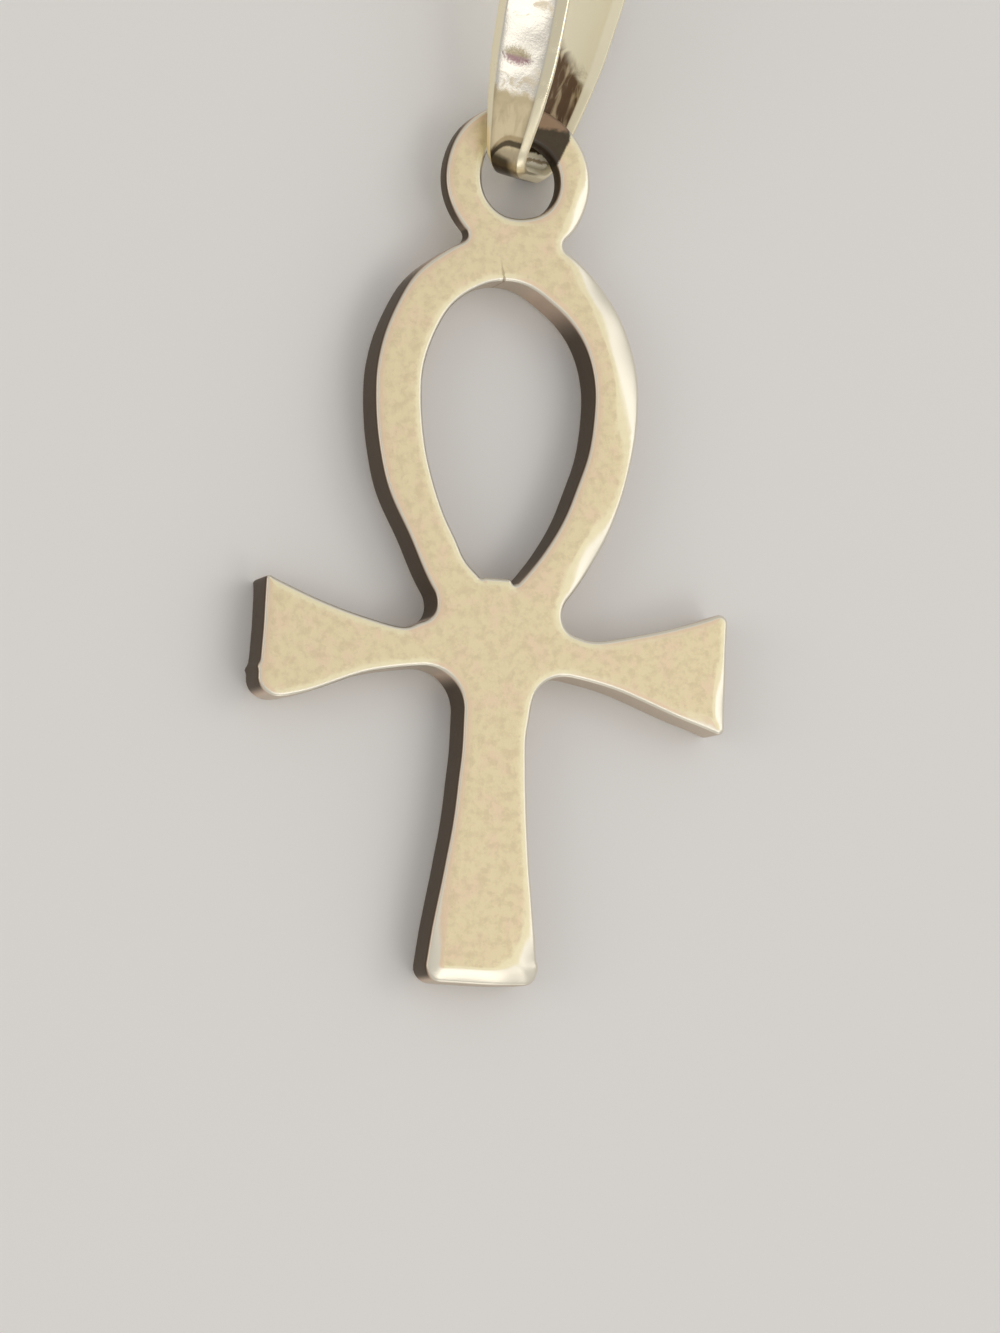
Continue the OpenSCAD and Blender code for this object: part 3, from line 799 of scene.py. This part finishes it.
def satinGold(f):
    material, graph = startMaterial("satinGold")
    place = graph.node("ShaderNodeTexCoord", out="Object")
    normal = graph.node("ShaderNodeNewGeometry", out="Normal")
    sideways, up = graph.split(normal, 0), graph.split(normal, 2)
    x, y = graph.split(place, 0) / mm, graph.split(place, 1) / mm - footY
    blotch = graph.noise(place, f["blotchSize"], detail=4.0, roughness=0.65, distortion=0.1)
    sand = graph.noise(place, f["sandSize"], detail=2.0, roughness=0.6)
    rosy = graph.noise(place, f["roseSize"], detail=3.0, roughness=0.6)

    # Face: soft blotches, with a paler rim and a whiter edge along its edges as painted highlight, and
    # the rim rose as painted shade where it faces left
    dark = graph.smooth(blotch, *f["tanPart"])
    slope = up + (blotch - 0.5) * f["rimWaver"]
    rim = graph.smooth(slope, *f["rimFacing"])
    edge = graph.smooth(slope, *f["edgeFacing"])
    rimColour = graph.mix(graph.smooth(sideways, *f["roseRimFacing"]), f["rim"], f["rose"])
    colour = graph.mix(graph.smooth(rosy, *f["rosePart"]) * f["roseShare"], f["cream"], f["rose"])
    colour = graph.mix(dark * f["tanShare"], colour, f["tan"])
    colour = graph.mix(rim * f["rimShare"], colour, rimColour)
    colour = graph.mix(edge, colour, f["edge"])

    # Walls: painted shade, darkest on the walls and rims that face left
    leftRimShade = graph.smooth(sideways, *f["leftRimFacing"])
    leftWallShade = graph.smooth(sideways, *f["leftWallFacing"])
    wall = graph.smooth(abs(up), *f["wallFacing"])
    front = graph.smooth(up, *f["frontFacing"])
    colour = graph.mix(wall * (f["wallShare"] + sand * f["wallSand"]), colour, f["wall"])
    colour = graph.mix(leftRimShade * f["leftRimShare"], colour, f["leftRimShade"])
    colour = graph.mix(leftWallShade, colour, f["leftWallShade"])

    # Seam, and a dark patch where the bail covers the eyelet
    cleft = seamMask(graph, seam, x, y, sand)
    colour = graph.mix(cleft * seam["share"], colour, f["seam"])
    black = graph.smooth(y + (blotch - 0.5) * eyeletDarkPatch["blackWaver"], *eyeletDarkPatch["blackY"])
    darkPatchColour = graph.mix(black, f["brown"], f["black"])
    colour = graph.mix(eyeletDarkPatchMask(graph, eyeletDarkPatch, x, y, sand), colour, darkPatchColour)

    rough = f["faceRoughness"] + (sand - 0.5) * f["sandRoughness"]
    rough = graph.blend(edge, rough, f["edgeRoughness"])
    rough = graph.blend(wall, rough, f["wallRoughness"])
    rough = graph.blend(front, rough, f["frontRoughness"] + dark * f["blotchRoughness"])
    grain = sand * f["sandHeight"] + blotch * f["blotchHeight"]
    height = grain * graph.blend(edge, 1, f["edgeHeight"]) - cleft * f["seamDepth"]
    # The left walls mirror less, to keep their painted shade dark
    endMaterial(graph, colour, rough, height, f["bumpHeight"], 1 - leftWallShade * f["leftWallPaint"])
    return material


# Paints shade at the bend: lines along a curve, and patches in the left corner and at the end
def addBendShade(graph, w, f, colour, x, y, wander, scratch):
    left = (x - w["topX"]).least(0.0)
    below = w["topY"] - w["curve"] * left * left - y + (scratch - 0.5) * w["waver"]
    bronze = graph.smooth(abs(below - w["bronzeAt"]), *w["bronzeLine"]) * w["bronzeShare"]
    dark = graph.smooth(abs(below - w["darkAt"]), *w["darkLine"]) * w["darkShare"]
    colour = graph.mix(bronze, colour, f["bronze"])
    colour = graph.mix(dark, colour, f["deepShade"])
    corner = graph.smooth(x + wander * w["cornerWander"], *w["cornerX"])
    corner = corner * graph.smooth(below, *w["cornerBelow"])
    end = graph.smooth(y + x * w["endSlant"] + wander * w["endWander"], *w["endY"])
    end = end * graph.smooth(x, *w["endX"])
    return graph.mix(corner.most(end) * w["darkShare"], colour, f["deepShade"])


def innerColour(graph, n, f, y, streak, wander):        # the painted shade with streaks and the solder, without its facets and the pale painted highlight above
    streaks = graph.smooth(streak, *n["streakPart"]) * n["streakShare"]
    colour = graph.mix(streaks, f["innerShade"], f["streak"])
    colour = graph.mix(graph.smooth(y + wander * n["darkWander"], *n["darkY"]), colour, f["deepShade"])
    solder = graph.smooth(y + (streak - 0.5) * n["solderWaver"], *n["solderY"])
    colour = graph.mix(solder, colour, f["solder"])
    offLine = abs(y - n["solderLineY"] + (streak - 0.5) * n["lineWaver"])
    return graph.mix(graph.smooth(offLine, *n["solderLine"]) * n["lineShare"], colour, f["bronze"])


def polishedGold(f):
    material, graph = startMaterial("polishedGold")
    place = graph.node("ShaderNodeAttribute", {"attribute_name": "onBail"}, out="Vector")
    outside = graph.node("ShaderNodeAttribute", {"attribute_name": "outside"}, out="Fac")
    across = graph.node("ShaderNodeAttribute", {"attribute_name": "across"}, out="Fac")
    x, y = graph.split(place, 0) / mm, graph.split(place, 1) / mm
    patch = graph.noise(place, f["patchSize"], detail=3.0, roughness=0.6, distortion=0.6)
    scratch = graph.noise(place, f["scratchSize"], detail=2.0, roughness=0.6)
    stretched = graph.node("ShaderNodeVectorMath", {"operation": "MULTIPLY"},
                           {0: place, 1: f["streakStretch"]})
    streak = graph.noise(stretched, f["streakSize"], detail=2.0, roughness=0.5, distortion=0.4)
    wander = (patch - 0.5) * f["wander"]

    # Outer side: dull patches, a lower end mottled tan as painted shade, one dark smudge and the painted
    # shade at the bend
    facet = graph.smooth(abs(across), *f["facetFrom"])
    dull = graph.smooth(patch, *f["dullPart"])
    # Painted shade: the lower end turns tan
    low = graph.smooth(y + wander, *f["tanY"])
    mottled = graph.smooth(streak, *f["mottledPart"]) * f["mottledShare"]
    mottled = mottled.most(graph.smooth(y + wander, *f["shadeY"]) * f["shadeShare"])
    colour = graph.mix(dull * f["dullShare"], f["gold"], f["dull"])
    colour = graph.mix(low, colour, graph.mix(mottled, f["tan"], f["olive"]))
    (atX, atY), (sizeX, sizeY) = f["smudgeAt"], f["smudgeSize"]
    farX, farY = (x - atX) / sizeX, (y - atY) / sizeY
    ragged = (scratch - 0.5) * f["smudgeWaver"] + (patch - 0.5) * f["smudgeWaver"]
    smudge = graph.smooth(farX * farX + farY * farY + ragged, *f["smudgePart"])
    darkPatchColour = graph.mix(graph.smooth(farY, *f["smudgeTurn"]), f["olive"], f["smudge"])
    colour = graph.mix(smudge * f["smudgeShare"], colour, darkPatchColour)
    colour = addBendShade(graph, bendShade, f, colour, x, y, wander, scratch)
    # Paler facets along both edges of the ribbon: painted highlight
    colour = graph.mix(facet, colour, f["facet"])

    # Inner side: painted shade, with painted highlight on its facets and towards its upper end
    inner = graph.smooth(outside, *innerSide["begins"])
    pale = graph.smooth(y + x * innerSide["paleSlant"] + wander, *innerSide["paleY"])
    brown = graph.mix(facet, innerColour(graph, innerSide, f, y, streak, wander), f["facet"])
    brown = graph.mix(pale, brown, f["pale"])
    colour = graph.mix(inner, colour, brown)

    duller = (dull * f["patchDullness"] + low * f["tanDullness"]) * (f["dullRoughness"] - f["roughness"])
    rough = f["roughness"] + duller + (scratch - 0.5) * f["scratchRoughness"]
    rough = rough + inner * f["innerRoughness"]
    height = scratch * f["scratchHeight"] + patch * f["patchHeight"]
    paint = inner * (pale * innerSide["palePaint"] + facet * innerSide["facetPaint"])
    endMaterial(graph, colour, rough, height, f["bumpHeight"], 1 - paint)
    return material


def paleFloor(colour, roughness):
    material, graph = startMaterial("paleFloor")
    shader = graph.node("ShaderNodeBsdfPrincipled", {}, {"Base Color": colour, "Roughness": roughness})
    graph.node("ShaderNodeOutputMaterial", {}, {"Surface": shader})
    return material


def shown(piece, material, node):
    if not piece.data.materials:
        piece.data.materials.append(material)
    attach(piece, "root")
    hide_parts(node)


plateMesh = meshPiece("ankhPlate", plateShell(plate))
shown(plateMesh, satinGold(satin), "ankh_plate")
print("plate:", len(plateMesh.data.polygons), "faces")
ribbonGold = polishedGold(polished)
bailPiece = makeBail(bail, plate, ribbonGold)
shown(bailPiece, ribbonGold, "bail")
print("bail:", len(bailPiece.data.polygons), "faces")


# Floor, light and camera

stage = {
    "floorSize": 0.8,        # in metres
    "floorBelow": 0.02, "floorColour": (0.88, 0.865, 0.84, 1), "floorRoughness": 0.7,
    "surround": (0.56, 0.55, 0.54, 1), "surroundStrength": 1.0,
}

# Softboxes: where each stands, in metres from the pendant, how wide it is, its power and its colour
lights = [
    {"name": "keyLight", "at": (0.18, 0.05, 0.42), "size": 0.36, "power": 0.13,
     "colour": (1.0, 0.97, 0.93)},
    {"name": "bandLight", "at": (0.29, 0.05, 0.335), "size": 0.17, "power": 0.088,
     "colour": (1.0, 0.98, 0.95)},
    {"name": "leftLight", "at": (-0.40, -0.01, 0.24), "size": 0.24, "power": 0.2,
     "colour": (1.0, 0.98, 0.96)},
    {"name": "lowFrontLight", "at": (0.14, -0.42, 0.07), "size": 0.14, "power": 0.08,
     "colour": (1.0, 0.97, 0.95)},
    {"name": "footLight", "at": (0.14, -0.19, 0.37), "size": 0.14, "power": 0.12,
     "colour": (1.0, 0.96, 0.92)},
]

# The camera's place in mm, with its focal length on Blender's own sensor and how far it sees, in metres
camera = {
    "at": (-45.152, -22.033, 135.088), "towards": (0.31874, 0.10800, -0.94167),
    "up": (-0.07558, 0.99322, 0.08833), "lens": 135.03, "seesFrom": 0.001, "seesTo": 10,
}


def aim(towards, up):        # turns -Z towards a direction with +Y up
    back = -Vector(towards).normalized()
    right = Vector(up).cross(back).normalized()
    return Matrix((right, back.cross(right), back)).transposed()


def makeStage(s):
    half = s["floorSize"] / 2
    mesh = bpy.data.meshes.new("floor")
    corners = [(-half, -half, 0), (half, -half, 0), (half, half, 0), (-half, half, 0)]
    mesh.from_pydata(corners, [], [(0, 1, 2, 3)])
    mesh.materials.append(paleFloor(s["floorColour"], s["floorRoughness"]))
    floor = bpy.data.objects.new("floor", mesh)
    floor.location.z = -s["floorBelow"] * mm
    bpy.context.scene.collection.objects.link(floor)
    world = bpy.data.worlds.new("surround")
    world.use_nodes = True
    world.node_tree.nodes["Background"].inputs["Color"].default_value = s["surround"]
    world.node_tree.nodes["Background"].inputs["Strength"].default_value = s["surroundStrength"]
    bpy.context.scene.world = world


def makeLight(row):
    light = bpy.data.lights.new(row["name"], "AREA")
    light.size, light.energy, light.color = row["size"], row["power"], row["colour"]
    lamp = bpy.data.objects.new(row["name"], light)
    lamp.location = row["at"]
    lamp.rotation_euler = aim(-Vector(row["at"]), (0, 1, 0)).to_euler()
    bpy.context.scene.collection.objects.link(lamp)


def makeCamera(c):
    lens = bpy.data.cameras.new("camera")
    lens.lens, lens.clip_start, lens.clip_end = c["lens"], c["seesFrom"], c["seesTo"]
    holder = bpy.data.objects.new("camera", lens)
    holder.location = Vector(c["at"]) * mm
    holder.rotation_euler = aim(c["towards"], c["up"]).to_euler()
    bpy.context.scene.collection.objects.link(holder)
    bpy.context.scene.camera = holder


makeStage(stage)
for row in lights:
    makeLight(row)
makeCamera(camera)
bpy.context.scene.view_settings.view_transform = "Standard"
print("stage and camera are set")
